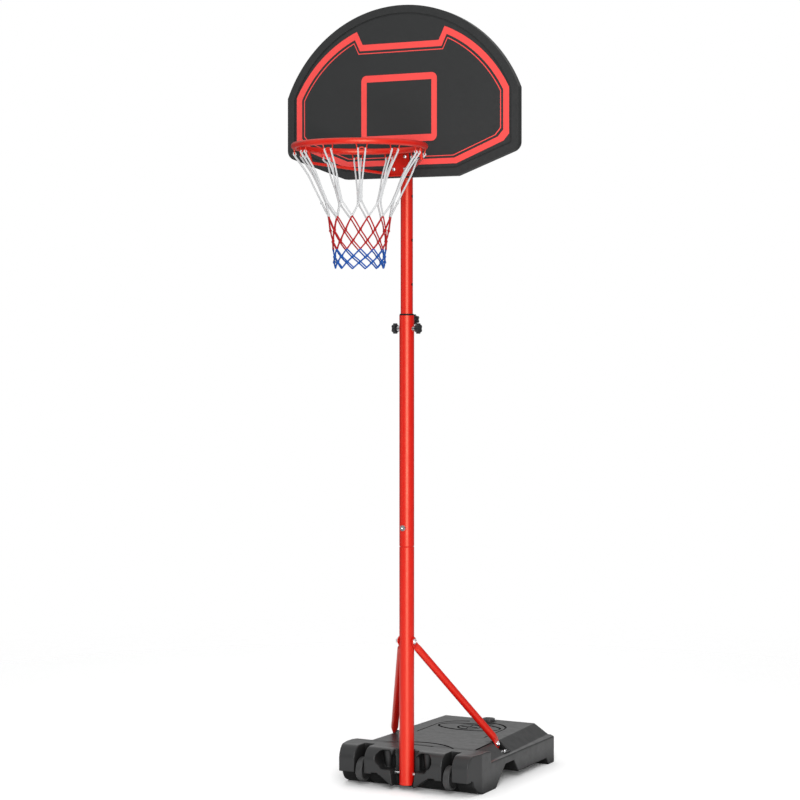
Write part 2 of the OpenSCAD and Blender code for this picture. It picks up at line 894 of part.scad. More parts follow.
module net() {
    color([0.9, 0.9, 0.92]) place() translate([0, -rim_y, rim_z]) rotate_extrude($fn = fine)
        polygon([for (p = net_shape) [p[1] + net_t / 2, -p[0]],
            for (i = [len(net_shape) - 1 : -1 : 0]) [net_shape[i][1] - net_t / 2, -net_shape[i][0]]]);
}

base_tank();
sand_ballast();
filler_cap();
cap_gasket();
wheel_axle();
axle_washers();
wheel(-wheel_x);  // wheel_left
wheel(wheel_x);  // wheel_right
lower_pole();
middle_pole();
joint_screw();
joint_nut();
guide_sleeve();
lock_bosses();
stud(180, lock_z, 0);  // lock_stud_left
knob(180, lock_z, 0);  // lock_knob_left
stud(0, lock_z, 0);  // lock_stud_right
knob(0, lock_z, 0);  // lock_knob_right
stud(90, clamp_z, 10);  // clamp_stud
knob(90, clamp_z, 10);  // clamp_knob
strut_left();
strut_right();
strut_top_bolt();
strut_top_nut();
strut_foot_bolts();
strut_foot_nuts();
strut_bracket_left();
strut_bracket_right();
bracket_screws();
upper_pole();
pole_glide();
pole_top_cap();
backboard();
court_print();
target_print();
lower_mount_plate();
upper_mount_plate();
upper_mount_screws();
rim_bracket();
bracket_bolts();
bracket_nuts();
rim_ring();
rim_brace_left();
rim_brace_right();
net_hooks();
net();
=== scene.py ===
"""Portable basketball hoop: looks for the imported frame. Lengths are in metres."""
import json
import math

import bmesh
import bpy
import numpy as np
from mathutils import Matrix, Vector


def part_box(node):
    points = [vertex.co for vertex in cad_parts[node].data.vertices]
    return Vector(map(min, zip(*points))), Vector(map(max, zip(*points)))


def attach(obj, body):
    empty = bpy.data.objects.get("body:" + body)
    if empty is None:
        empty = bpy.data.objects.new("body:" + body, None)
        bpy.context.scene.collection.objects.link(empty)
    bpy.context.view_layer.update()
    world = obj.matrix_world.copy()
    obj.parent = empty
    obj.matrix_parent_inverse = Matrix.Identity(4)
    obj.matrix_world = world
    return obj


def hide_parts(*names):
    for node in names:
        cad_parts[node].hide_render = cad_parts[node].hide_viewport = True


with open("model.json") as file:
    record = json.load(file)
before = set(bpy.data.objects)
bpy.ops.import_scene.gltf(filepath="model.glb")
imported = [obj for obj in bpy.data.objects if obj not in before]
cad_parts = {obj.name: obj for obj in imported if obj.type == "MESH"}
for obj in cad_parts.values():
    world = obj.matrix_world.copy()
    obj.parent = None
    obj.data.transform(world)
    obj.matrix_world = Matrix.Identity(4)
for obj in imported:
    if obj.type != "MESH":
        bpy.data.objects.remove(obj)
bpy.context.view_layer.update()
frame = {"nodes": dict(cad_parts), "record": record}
nodes = frame["nodes"]

MM = 0.001
TAU = 2 * math.pi


# ---------- places, all taken from the frame ----------

def middle(node):
    low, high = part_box(node)
    return (low + high) / 2


pole = middle("upper_pole")
pole_radius = (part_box("middle_pole")[1].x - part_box("middle_pole")[0].x) / 2
rim_low, rim_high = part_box("rim_ring")
rim_tube = (rim_high.z - rim_low.z) / 2
rim_centre = middle("rim_ring")
rim_radius = (rim_high.x - rim_low.x) / 2 - rim_tube
tank_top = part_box("base_tank")[1].z


# ---------- materials ----------

class Finish:
    """A material whose shader sockets are set directly and whose detail comes from procedural nodes."""

    def __init__(self, name, colour, roughness, metallic=0.0, coat=0.0, sheen=0.0, specular=0.5):
        self.material = bpy.data.materials.new(name)
        self.material.use_nodes = True
        self.tree = self.material.node_tree
        self.shader = self.tree.nodes["Principled BSDF"]
        self.set("Base Color", (*colour, 1))
        self.set("Roughness", roughness)
        self.set("Metallic", metallic)
        self.set("Coat Weight", coat)
        self.set("Coat Roughness", 0.2)
        self.set("Sheen Weight", sheen)
        self.set("Specular IOR Level", specular)
        self.colour = colour
        self.roughness = roughness
        self.height = None

    def set(self, socket, value):
        self.shader.inputs[socket].default_value = value

    def node(self, kind, **values):
        made = self.tree.nodes.new(kind)
        for key, value in values.items():
            if hasattr(made, key):
                setattr(made, key, value)
            else:
                made.inputs[key.replace("_", " ").title()].default_value = value
        return made

    def link(self, source, target):
        self.tree.links.new(source, target)

    def place(self, kind="Object"):
        return self.node("ShaderNodeTexCoord").outputs[kind]

    def noise(self, scale, detail=3.0, stretch=(1, 1, 1)):
        """Noise in the object's own space, with features about 1/scale metres across."""
        mapping = self.node("ShaderNodeMapping")
        mapping.inputs["Scale"].default_value = stretch
        self.link(self.place(), mapping.inputs["Vector"])
        texture = self.node("ShaderNodeTexNoise", scale=scale, detail=detail)
        self.link(mapping.outputs["Vector"], texture.inputs["Vector"])
        return texture.outputs["Fac"]

    def spread(self, factor, low, high):
        """Maps the middle of a noise onto a range."""
        ramp = self.node("ShaderNodeMapRange")
        ramp.inputs["From Min"].default_value = 0.3
        ramp.inputs["From Max"].default_value = 0.7
        ramp.inputs["To Min"].default_value = low
        ramp.inputs["To Max"].default_value = high
        self.link(factor, ramp.inputs["Value"])
        return ramp.outputs["Result"]

    def tint(self, factor, other):
        """Blends the base colour towards another one."""
        mix = self.node("ShaderNodeMix", data_type="RGBA")
        mix.inputs["A"].default_value = (*self.colour, 1)
        mix.inputs["B"].default_value = (*other, 1)
        self.link(factor, mix.inputs["Factor"])
        self.link(mix.outputs["Result"], self.shader.inputs["Base Color"])

    def paint_shade_in_hollows(self, reach, least):
        """Paints shade into the colour inside pockets, from an ambient-occlusion node, and dulls the gloss
        there; comes after tint and vary_roughness.
        """
        hollow = self.node("ShaderNodeAmbientOcclusion", samples=8, distance=reach)
        ramp = self.node("ShaderNodeMapRange")
        ramp.inputs["From Min"].default_value = 0.3
        ramp.inputs["From Max"].default_value = 0.75
        ramp.inputs["To Min"].default_value = least
        self.link(hollow.outputs["AO"], ramp.inputs["Value"])
        mix = self.node("ShaderNodeMix", data_type="RGBA", blend_type="MULTIPLY", factor=1.0)
        colour = self.shader.inputs["Base Color"].links[0].from_socket
        self.link(colour, mix.inputs["A"])
        self.link(ramp.outputs["Result"], mix.inputs["B"])
        self.link(mix.outputs["Result"], self.shader.inputs["Base Color"])
        dull = self.node("ShaderNodeMix")
        dull.inputs["A"].default_value = 0.95
        self.link(self.shader.inputs["Roughness"].links[0].from_socket, dull.inputs["B"])
        self.link(ramp.outputs["Result"], dull.inputs["Factor"])
        self.link(dull.outputs["Result"], self.shader.inputs["Roughness"])

    def vary_roughness(self, factor, amount):
        low, high = self.roughness - amount, self.roughness + amount
        self.link(self.spread(factor, low, high), self.shader.inputs["Roughness"])

    def bump(self, factor, depth, strength=1.0):
        """Adds relief; several calls stack up."""
        made = self.node("ShaderNodeBump", distance=depth, strength=strength)
        self.link(factor, made.inputs["Height"])
        if self.height:
            self.link(self.height, made.inputs["Normal"])
        self.height = made.outputs["Normal"]
        self.link(self.height, self.shader.inputs["Normal"])


def shade(colour, factor):
    return tuple(c * factor for c in colour)


def red_powder_coat():
    f = Finish("red_powder_coat", (0.425, 0.0030, 0.0015), 0.40, specular=0.68)
    f.set("Specular Tint", (1.0, 0.64, 0.42, 1))
    f.tint(f.spread(f.noise(14), 0, 0.35), (0.395, 0.0028, 0.0014))
    f.vary_roughness(f.noise(60, 5), 0.04)
    f.bump(f.noise(700, 2), 0.00008, 0.15)
    f.bump(f.noise(2600, 2), 0.00003, 0.12)
    return f.material


def tank_plastic():
    f = Finish("tank_plastic", (0.0205, 0.0208, 0.0212), 0.34, specular=0.20)
    f.tint(f.spread(f.noise(7, 5), 0, 0.4), (0.0235, 0.0239, 0.0243))
    f.vary_roughness(f.noise(45, 5), 0.06)
    # painted shade: the tank's colour darkens in its pockets and grooves
    f.paint_shade_in_hollows(110 * MM, 0.02)
    f.bump(f.noise(1500, 4), 0.00008, 0.4)
    return f.material


def board_plastic():
    f = Finish("board_plastic", (0.0158, 0.0164, 0.0166), 0.45, specular=0.33)
    f.tint(f.spread(f.noise(7, 5), 0, 0.5), (0.0193, 0.0201, 0.0204))
    f.vary_roughness(f.noise(90, 4), 0.05)
    f.bump(f.noise(1900, 3), 0.00010, 0.45)
    return f.material


def printed_ink(name, colour):
    f = Finish(name, colour, 0.38)
    f.tint(f.spread(f.noise(26, 6), 0, 0.5), shade(colour, 0.88))
    f.vary_roughness(f.noise(300, 4), 0.06)
    f.bump(f.noise(1900, 3), 0.00008, 0.4)
    return f.material


def zinc_plate(name, brightness=1.0):
    f = Finish(name, shade((0.80, 0.80, 0.81), brightness), 0.26, metallic=1.0)
    cells = f.node("ShaderNodeTexVoronoi", scale=420.0)
    f.link(f.place(), cells.inputs["Vector"])
    f.tint(f.spread(cells.outputs["Distance"], 0, 0.7), shade((0.66, 0.67, 0.68), brightness))
    f.vary_roughness(f.noise(500, 4), 0.08)
    f.bump(f.noise(1800, 3), 0.00005, 0.4)
    return f.material


def moulded_black(name, roughness, depth=1.0):
    f = Finish(name, shade((0.020, 0.020, 0.022), depth), roughness, specular=0.5 * depth)
    f.tint(f.spread(f.noise(60, 5), 0, 0.6), shade((0.030, 0.030, 0.032), depth))
    f.vary_roughness(f.noise(160, 4), 0.06)
    f.bump(f.noise(1700, 3), 0.00008, 0.5)
    return f.material


def wheel_plastic():
    f = Finish("wheel_plastic", (0.017, 0.0173, 0.0176), 0.44)
    f.tint(f.spread(f.noise(70, 5), 0, 0.7), (0.014, 0.014, 0.0144))
    f.vary_roughness(f.noise(240, 4), 0.08)
    # painted shade: the wheels' colour darkens in their slots and pockets
    f.paint_shade_in_hollows(40 * MM, 0.1)
    f.bump(f.noise(1300, 4), 0.00012, 0.5)
    return f.material


def black_enamel():
    f = Finish("black_enamel", (0.014, 0.014, 0.015), 0.32, coat=0.3)
    f.tint(f.spread(f.noise(40, 5), 0, 0.6), (0.022, 0.022, 0.023))
    f.vary_roughness(f.noise(200, 4), 0.05)
    f.bump(f.noise(900, 3), 0.00008, 0.4)
    return f.material


def gasket_rubber():
    f = Finish("gasket_rubber", (0.018, 0.018, 0.018), 0.72)
    f.tint(f.spread(f.noise(120, 4), 0, 0.6), (0.030, 0.030, 0.030))
    f.bump(f.noise(1200, 4), 0.0001, 0.6)
    return f.material


def sand():
    f = Finish("sand", (0.56, 0.44, 0.28), 0.9)
    f.tint(f.spread(f.noise(900, 4), 0, 1), (0.36, 0.27, 0.17))
    f.bump(f.noise(900, 4), 0.0008, 0.8)
    return f.material


def braided_cord(name, colour):
    """Cord whose braid follows the tube's own UVs: U runs round it and V along it, in cord widths."""
    f = Finish(name, colour, 0.8, sheen=0.05, specular=0.22)
    split = f.node("ShaderNodeSeparateXYZ")
    f.link(f.place("UV"), split.inputs["Vector"])
    ridges = []
    for way in (1, -1):
        lean = f.node("ShaderNodeMath", operation="MULTIPLY_ADD")
        lean.inputs[1].default_value = way * 2.0
        f.link(split.outputs["X"], lean.inputs[0])
        f.link(split.outputs["Y"], lean.inputs[2])
        turn = f.node("ShaderNodeMath", operation="MULTIPLY")
        turn.inputs[1].default_value = TAU
        f.link(lean.outputs["Value"], turn.inputs[0])
        wave = f.node("ShaderNodeMath", operation="SINE")
        f.link(turn.outputs["Value"], wave.inputs[0])
        ridges.append(wave.outputs["Value"])
    weave = f.node("ShaderNodeMath", operation="MULTIPLY")
    for i in range(2):
        f.link(ridges[i], weave.inputs[i])
    relief = f.node("ShaderNodeMapRange")
    relief.inputs["From Min"].default_value = -1.0
    f.link(weave.outputs["Value"], relief.inputs["Value"])
    f.tint(relief.outputs["Result"], shade(colour, 0.72))
    f.bump(relief.outputs["Result"], 0.0005, 0.55)
    f.bump(f.noise(2500, 3), 0.0002, 0.4)
    return f.material


RED = red_powder_coat()
TANK = tank_plastic()
BOARD = board_plastic()
INK = printed_ink("red_ink", (0.64, 0.051, 0.046))
ZINC = zinc_plate("zinc_plate")
DULL_ZINC = zinc_plate("dull_zinc", 0.55)
KNOB = moulded_black("knob_plastic", 0.30, 0.55)
TRIM = moulded_black("trim_plastic", 0.48)
WHEEL = wheel_plastic()
ENAMEL = black_enamel()
GASKET = gasket_rubber()
# near-black: the guide sleeve's own black, and painted shade in the tank's grooves and inside the upper
# tube
BLACK_AND_PAINTED_SHADE = moulded_black("black_and_painted_shade", 0.6, 0.25)
SAND = sand()
WHITE_CORD = braided_cord("white_cord", (0.46, 0.465, 0.47))
RED_CORD = braided_cord("red_cord", (0.32, 0.002, 0.004))
BLUE_CORD = braided_cord("blue_cord", (0.001, 0.060, 0.29))

FINISHES = {
    "red_paint": RED,
    "zinc_steel": ZINC,
    "black_plastic": TRIM,
    "black_steel": ENAMEL,
    "tank_plastic": TANK,
    "sand": SAND,
    "gasket_rubber": GASKET,
    "board_plastic": BOARD,
    "red_print": INK,
    "net_cord": WHITE_CORD,
}
OWN_FINISH = {
    "wheel_left": WHEEL,
    "wheel_right": WHEEL,
    "lock_knob_left": KNOB,
    "lock_knob_right": KNOB,
    "clamp_knob": KNOB,
    "guide_sleeve": BLACK_AND_PAINTED_SHADE,
    "lock_bosses": DULL_ZINC,
}


def paint(obj, material):
    obj.data.materials.clear()
    obj.data.materials.append(material)


def finish_cad_nodes():
    slots = {part["node"]: part["material_slot"] for part in frame["record"]["subparts"]}
    for name, obj in nodes.items():
        paint(obj, OWN_FINISH.get(name, FINISHES[slots[name]]))


# ---------- mesh helpers ----------

def add_object(name, mesh, material, body, stands_for=()):
    obj = bpy.data.objects.new(name, mesh)
    bpy.context.scene.collection.objects.link(obj)
    paint(obj, material)
    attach(obj, body)
    if stands_for:
        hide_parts(*stands_for)
    return obj


def smooth(mesh):
    """Smooth shading, with edges that bend by more than 40 degrees kept sharp."""
    mesh.shade_smooth()
    mesh.set_sharp_from_angle(angle=math.radians(40))


class Builder:
    """Collects tubes and turned shapes into one mesh with UVs."""

    def __init__(self):
        self.points = []
        self.faces = []
        self.uvs = []

    def ring_strip(self, rings, uv_rows, loop=False):
        """Joins rings of the same number of points into a skin, closed at its ends or into a loop."""
        base = len(self.points)
        sides = len(rings[0])
        for ring in rings:
            self.points.extend(ring)
        count = len(rings)
        for i in range(count if loop else count - 1):
            j = (i + 1) % count
            for k in range(sides):
                m = (k + 1) % sides
                self.faces.append((base + i * sides + k, base + i * sides + m,
                                   base + j * sides + m, base + j * sides + k))
                u0, u1 = k / sides, (k + 1) / sides
                v0 = uv_rows[i]
                v1 = uv_rows[j] if j else uv_rows[i] + uv_rows[1] - uv_rows[0]
                self.uvs.append(((u0, v0), (u1, v0), (u1, v1), (u0, v1)))
        if not loop:
            for i, order in ((0, -1), (count - 1, 1)):
                cap = [base + i * sides + k for k in range(sides)][::order]
                self.faces.append(tuple(cap))
                self.uvs.append(tuple((0.5, uv_rows[i]) for _ in cap))

    def tube(self, path, radius, sides):
        """A round tube along a path, with UV rows counted in tube widths."""
        path = [Vector(p) for p in path]
        tangents = [(ahead - behind).normalized()
                    for behind, ahead in zip([path[0], *path[:-1]], [*path[1:], path[-1]])]
        normal = tangents[0].orthogonal().normalized()
        rings, rows, run = [], [], 0.0
        for i, centre in enumerate(path):
            if i:
                normal = tangents[i - 1].rotation_difference(tangents[i]) @ normal
                run += (centre - path[i - 1]).length / (2 * radius)
            side = tangents[i].cross(normal).normalized()
            normal = side.cross(tangents[i]).normalized()
            rings.append([centre + radius * (math.cos(a) * normal + math.sin(a) * side)
                          for a in (TAU * k / sides for k in range(sides))])
            rows.append(run)
        self.ring_strip(rings, rows)

    def turned(self, profile, origin, axis, sides):
        """A turned shape from (radius, distance along the axis) pairs, the ends on the axis."""
        axis = Vector(axis).normalized()
        across = axis.orthogonal().normalized()
        up = axis.cross(across)
        rings = []
        for radius, along in profile:
            centre = origin + along * axis
            rings.append([centre + radius * (math.cos(a) * across + math.sin(a) * up)
                          for a in (TAU * k / sides for k in range(sides))])
        self.ring_strip(rings, [i * 0.1 for i in range(len(rings))])

    def mesh(self, name):
        made = bpy.data.meshes.new(name)
        made.from_pydata([tuple(p) for p in self.points], [], self.faces)
        layer = made.uv_layers.new(name="UVMap")
        flat = [c for face in self.uvs for uv in face for c in uv]
        layer.data.foreach_set("uv", flat)
        tidy = bmesh.new()
        tidy.from_mesh(made)
        bmesh.ops.recalc_face_normals(tidy, faces=tidy.faces)
        tidy.to_mesh(made)
        tidy.free()
        smooth(made)
        return made


def smooth_curve(points, steps):
    """Points along a Catmull-Rom curve through the given points."""
    points = [Vector(p) for p in points]
    ends = [2 * points[0] - points[1], *points, 2 * points[-1] - points[-2]]
    found = []
    for i in range(1, len(ends) - 2):
        p0, p1, p2, p3 = ends[i - 1:i + 3]
        for k in range(steps):
            t = k / steps
            found.append(0.5 * (2 * p1 + (p2 - p0) * t + (2 * p0 - 5 * p1 + 4 * p2 - p3) * t * t
                                + (3 * p1 - p0 - 3 * p2 + p3) * t ** 3))
    found.append(points[-1])
    return found


# ---------- net and its hooks ----------

HOOKS = 12
# half the distance between a hook's two legs, corners and curls, then the wire's and cord's radii
LEG = 13 * MM
CORNER = 11.5 * MM
CURL = CORNER - 2.0 * MM
WIRE = 1.6 * MM
CORD = 2.15 * MM
# the coloured cords and the loops are this much thinner
THIN = 0.92
# drop below the rim's centre line and radius at each row of knots
ROWS = [(150, 100), (187, 84), (223, 77), (251, 72.5), (273, 69.5), (291, 68), (306, 66.8), (322, 65.6)]


def on_net(angle, drop, radius, across=0.0):
    """A point of the net; angle in hook steps, across is tangential."""
    turn = TAU * angle / HOOKS
    out = Vector((math.cos(turn), math.sin(turn), 0))
    side = Vector((-out.y, out.x, 0))
    return rim_centre + radius * out + across * side - Vector((0, 0, drop))


def hook_wires():
    """Bent wires welded under the ring: two legs, a pair of curls and a bar between them."""
    wires = Builder()
    under = rim_tube - 1.2 * MM
    for hook in range(HOOKS):
        half = [(LEG + 3.4 * MM, under - 2.4 * MM, rim_radius + 1 * MM),
                (LEG + 1.2 * MM, under + 1.6 * MM, rim_radius),
                (CORNER + 1.2 * MM, under + 8 * MM, rim_radius - 1 * MM),
                (CORNER + 0.4 * MM, under + 13 * MM, rim_radius - 1.6 * MM),
                (CURL, under + 15.6 * MM, rim_radius - 1.8 * MM),
                (CURL - 2.8 * MM, under + 13.4 * MM, rim_radius - 1.6 * MM),
                (CURL - 4.8 * MM, under + 10.6 * MM, rim_radius - 1.2 * MM),
                (CURL - 7.8 * MM, under + 9.4 * MM, rim_radius - 1.0 * MM)]
        points = [on_net(hook, drop, radius, across) for across, drop, radius in half]
        points += [on_net(hook, drop, radius, -across) for across, drop, radius in half[::-1]]
        wires.tube(smooth_curve(points, 5), WIRE, 8)
    add_object("hook_wires", wires.mesh("hook_wires"), RED, "hoop", ["net_hooks"])


def row_point(row, angle, way):
    """Where a cord passes a knot; the two that cross lie one over the other, 1 mm out or in."""
    drop, radius = ROWS[row]
    return on_net(angle, drop * MM, radius * MM + way * MM)


def upper_strands():
    """White cords from the hooks to the first coloured knots."""
    cords = Builder()
    top = rim_tube + 15.2 * MM
    cord_radius = rim_radius - 1.8 * MM
    for hook in range(HOOKS):
        for side in (1, -1):
            path = [on_net(hook, top + CORD, cord_radius, side * CURL)]
            if hook in (1, 5):
                # these two lie over a brace of the rim
                path += [on_net(hook, 33 * MM, 159.5 * MM, side * 8.0 * MM),
                         on_net(hook, 38.5 * MM, 151 * MM, side * 7.2 * MM)]
            path += [on_net(hook, 72 * MM, 138.5 * MM, side * 5.4 * MM),
                     on_net(hook, 112 * MM, 118.5 * MM, side * 2.1 * MM),
                     on_net(hook, 138 * MM, 105.6 * MM, side * 1.9 * MM),
                     on_net(hook, 150 * MM, 99.8 * MM, side * 2.6 * MM),
                     on_net(hook + side * 0.25, 168.5 * MM, 91.4 * MM),
                     row_point(1, hook + side * 0.5, side)]
            cords.tube(smooth_curve(path, 5), CORD * 1.12, 8)
        # the loop over each of the hook's two curls
        for side in (1, -1):
            bend = [on_net(hook, top - 1.6 * MM - math.sin(a) * 3.4 * MM,
                           cord_radius + math.cos(a) * 3.2 * MM, side * CURL)
                    for a in (math.pi * step / 8 for step in range(9))]
            ends = on_net(hook, top + 2.6 * MM, cord_radius, side * CURL)
            cords.tube([ends, *bend, ends], CORD * THIN, 8)
    return cords


def knots(cords, rows, size):
    """Small lumps of two turns of cord where cords meet."""
    for row in rows:
        drop, radius = ROWS[row]
        offset = 0.5 if row % 2 else 0.0
        for k in range(HOOKS):
            centre = on_net(k + offset, drop * MM, radius * MM)
            turn = TAU * (k + offset) / HOOKS
            out = Vector((math.cos(turn), math.sin(turn), 0))
            side = Vector((-out.y, out.x, 0))
            points = []
            for step in range(20):
                a = TAU * step / 10
                rise = (step / 19 - 0.5) * 3.6 * MM * size
                points.append(centre + 2.2 * MM * size * (math.cos(a) * out + math.sin(a) * side)
                              + Vector((0, 0, rise)))
            cords.tube(points, CORD * 0.6 * size, 6)


def diagonals(cords, first, last):
    """Both families of cords that run down the mesh from one row to another."""
    offset = 0.5 if first % 2 else 0.0
    for k in range(HOOKS):
        for side in (1, -1):
            path = []
            for row in range(first, last + 1):
                angle = k + offset + side * 0.5 * (row - first)
                path.append(row_point(row, angle, side if row < len(ROWS) - 1 else 0))
                if row < last:
                    drop = (ROWS[row][0] + ROWS[row + 1][0]) / 2
                    width = (ROWS[row][1] + ROWS[row + 1][1]) / 2
                    path.append(on_net(angle + side * 0.25, drop * MM, width * MM))
            cords.tube(smooth_curve(path, 4), CORD * THIN, 8)


def knotted_net():
    white = upper_strands()
    knots(white, [0], 1.2)
    add_object("net_white", white.mesh("net_white"), WHITE_CORD, "hoop", ["net"])
    red = Builder()
    diagonals(red, 1, 4)
    knots(red, [2, 3], 1.2)
    add_object("net_red", red.mesh("net_red"), RED_CORD, "hoop", ["net"])
    blue = Builder()
    diagonals(blue, 4, 7)
    knots(blue, [5, 6], 1.25)
    add_object("net_blue", blue.mesh("net_blue"), BLUE_CORD, "hoop", ["net"])


# ---------- bolt heads ----------

# a turned outline starts and ends this close to its axis
AXIS = 0.1 * MM
# the right strut's two bolt holes
TOP_EYE = Vector((pole_radius + 1.6 * MM, pole.y, 412 * MM))
FOOT_EYE = Vector((160.5 * MM, pole.y + 249 * MM, 100 * MM))


def dome(made, at, axis, radius, height, flange):
    """A domed head with a socket on a flat flange; at is the middle of its seat."""
    rise = 1.0 * MM
    profile = [(AXIS, 0.0), (flange * 0.98, 0.0), (flange, 0.25 * MM),
               (flange, rise - 0.2 * MM), (flange * 0.98, rise), (radius * 1.01, rise)]
    for step in range(1, 9):
        a = math.pi / 2 * step / 8
        profile.append((max(radius * math.cos(a) ** 0.75, 0.42 * radius),
                        rise + 0.2 * MM + height * math.sin(a)))
    top = rise + 0.2 * MM + height
    profile += [(0.38 * radius, top - 0.3 * MM), (0.36 * radius, top - 0.45 * height),
                (AXIS, top - 0.5 * height)]
    made.turned(profile, at, axis, 36)


def shank(made, at, axis, radius, length):
    """A plain bolt stem with a rounded tip."""
    made.turned([(AXIS, 0.0), (radius, 0.0), (radius, length - 0.8 * MM), (radius - 0.6 * MM, length),
                 (AXIS, length)], at, axis, 24)


def bolt_heads():
    """Domed heads in place of the plain discs on the four plate bolts and the strut bolts."""
    plate = Builder()
    low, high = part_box("bracket_bolts")
    head = 5.5 * MM
    for x in (low.x + head, high.x - head):
        for z in (low.z + head, high.z - head):
            seat = Vector((x, low.y + 3.4 * MM, z))
            dome(plate, seat, (0, -1, 0), 4.6 * MM, 2.6 * MM, head)
            shank(plate, seat, (0, 1, 0), 3 * MM, high.y - seat.y)
    add_object("plate_bolts", plate.mesh("plate_bolts"), ZINC, "hoop", ["bracket_bolts"])

    feet = Builder()
    low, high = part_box("strut_foot_bolts")
    seat_x = high.x - 5 * MM
    y, z = (low.y + high.y) / 2, (low.z + high.z) / 2
    inner = FOOT_EYE.x - 7.2 * MM
    for side in (1, -1):
        seat = Vector((side * seat_x, y, z))
        dome(feet, seat, (side, 0, 0), 6.6 * MM, 4.0 * MM, 8 * MM)
        shank(feet, seat, (-side, 0, 0), 4 * MM, seat_x - inner)
    add_object("foot_bolts", feet.mesh("foot_bolts"), ZINC, "stand", ["strut_foot_bolts"])

    top = Builder()
    low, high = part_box("strut_top_bolt")
    seat = Vector((high.x - 4.5 * MM, (low.y + high.y) / 2, (low.z + high.z) / 2))
    dome(top, seat, (1, 0, 0), 6.6 * MM, 3.2 * MM, 8 * MM)
    shank(top, seat, (-1, 0, 0), 4 * MM, seat.x - low.x)
    add_object("top_bolt", top.mesh("top_bolt"), ZINC, "stand", ["strut_top_bolt"])


# ---------- struts and upper tube ----------

# the locking screws' holes in the upper tube, one for each height
SETTINGS = 4
HOLE_PITCH = 121.5 * MM


def squashed_strut(side):
    """A round tube whose two ends are pressed flat around their bolts."""
    hand = "right" if side > 0 else "left"
    tab_half_width, tab_half_thickness, tube_radius = 12 * MM, 1.5 * MM, 10.5 * MM
    mirror = Vector((side, 1, 1))
    top_eye, foot_eye = TOP_EYE * mirror, FOOT_EYE * mirror
    run_down = Vector((0, foot_eye.y - top_eye.y, foot_eye.z - top_eye.z)).normalized()
    tab = 18 * MM
    # distance past the tab, and how round the tube is there
    flare = ((3, 0.25), (8, 0.6), (13, 0.92), (18, 1), (60, 1))
    top_tab = top_eye + tab * run_down
    foot_tab = foot_eye - tab * run_down
    # each step of the spine: its place, the tab's share of its width, and how round the tube is
    spine = [(top_eye - 11.2 * MM * run_down, 0.55, 0), (top_eye - 9 * MM * run_down, 0.74, 0),
             (top_eye - 5 * MM * run_down, 0.95, 0), (top_eye, 1, 0), (top_tab, 1, 0)]
    body = (foot_tab - top_tab).normalized()
    for along, round_ in flare:
        spine.append((top_tab + along * MM * body, 1, round_))
    for along, round_ in flare[::-1]:
        spine.append((foot_tab - along * MM * body, 1, round_))
    spine += [(foot_tab, 1, 0), (foot_eye, 1, 0), (foot_eye + 9 * MM * run_down, 0.95, 0),
              (foot_eye + 12.4 * MM * run_down, 0.74, 0), (foot_eye + 14 * MM * run_down, 0.55, 0)]
    made = Builder()
    rings, rows = [], []
    across_flat = Vector((side, 0, 0))
    width_flat = across_flat.cross(run_down).normalized()
    across_round = (across_flat - across_flat.dot(body) * body).normalized()
    width_round = across_round.cross(body).normalized()
    sides = 40
    for i, (at, width, round_) in enumerate(spine):
        ease = round_ * round_ * (3 - 2 * round_)
        across = across_flat.lerp(across_round, ease).normalized()
        wide = width_flat.lerp(width_round, ease).normalized()
        half_wide = tab_half_width * width * (1 - ease) + tube_radius * ease
        half_thin = tab_half_thickness * (1 - ease) + tube_radius * ease
        power = 0.45 + 0.55 * ease
        ring = []
        for k in range(sides):
            a = TAU * k / sides
            c, t = math.cos(a), math.sin(a)
            x = math.copysign(abs(c) ** power, c) * half_wide
            y = math.copysign(abs(t) ** power, t) * half_thin
            ring.append(at + x * wide + y * across)
        rings.append(ring)
        rows.append(i * 0.2)
    made.ring_strip(rings, rows)
    add_object("strut_tube_" + hand, made.mesh("strut_" + hand + "_tube"), RED,
               "stand", ["strut_" + hand])


def bore_painted_shade():
    """A near-black lining inside the upper tube and the holes drilled through its wall: partly the bare
    inner wall, partly painted shade.
    """
    low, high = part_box("upper_pole")
    outer = (high.x - low.x) / 2
    bore = Builder()
    bore.tube([(pole.x, pole.y, low.z + t * (high.z - 20 * MM - low.z)) for t in (0.004, 0.3, 0.6, 1)],
              outer - 4.5 * MM, 32)
    stud = middle("lock_stud_right").z
    for side in (1, -1):
        for step in range(SETTINGS):
            # a near-black liner for the hole, painted shade on its wall: radius, and depth under the tube's
            # skin
            rings = []
            for radius, wall in ((4.36, 2.2), (4.36, 0.03), (4.2, 0.03), (4.2, 2.2)):
                ring = []
                for k in range(24):
                    y, z = radius * MM * math.cos(TAU * k / 24), radius * MM * math.sin(TAU * k / 24)
                    x = math.sqrt((outer - wall * MM) ** 2 - y * y)
                    ring.append(Vector((side * x, pole.y + y, stud + step * HOLE_PITCH + z)))
                rings.append(ring)
            bore.ring_strip(rings, [0, 0.3, 0.4, 0.7], loop=True)
    add_object("upper_pole_bore_shade", bore.mesh("upper_pole_bore_shade"), BLACK_AND_PAINTED_SHADE, "hoop")


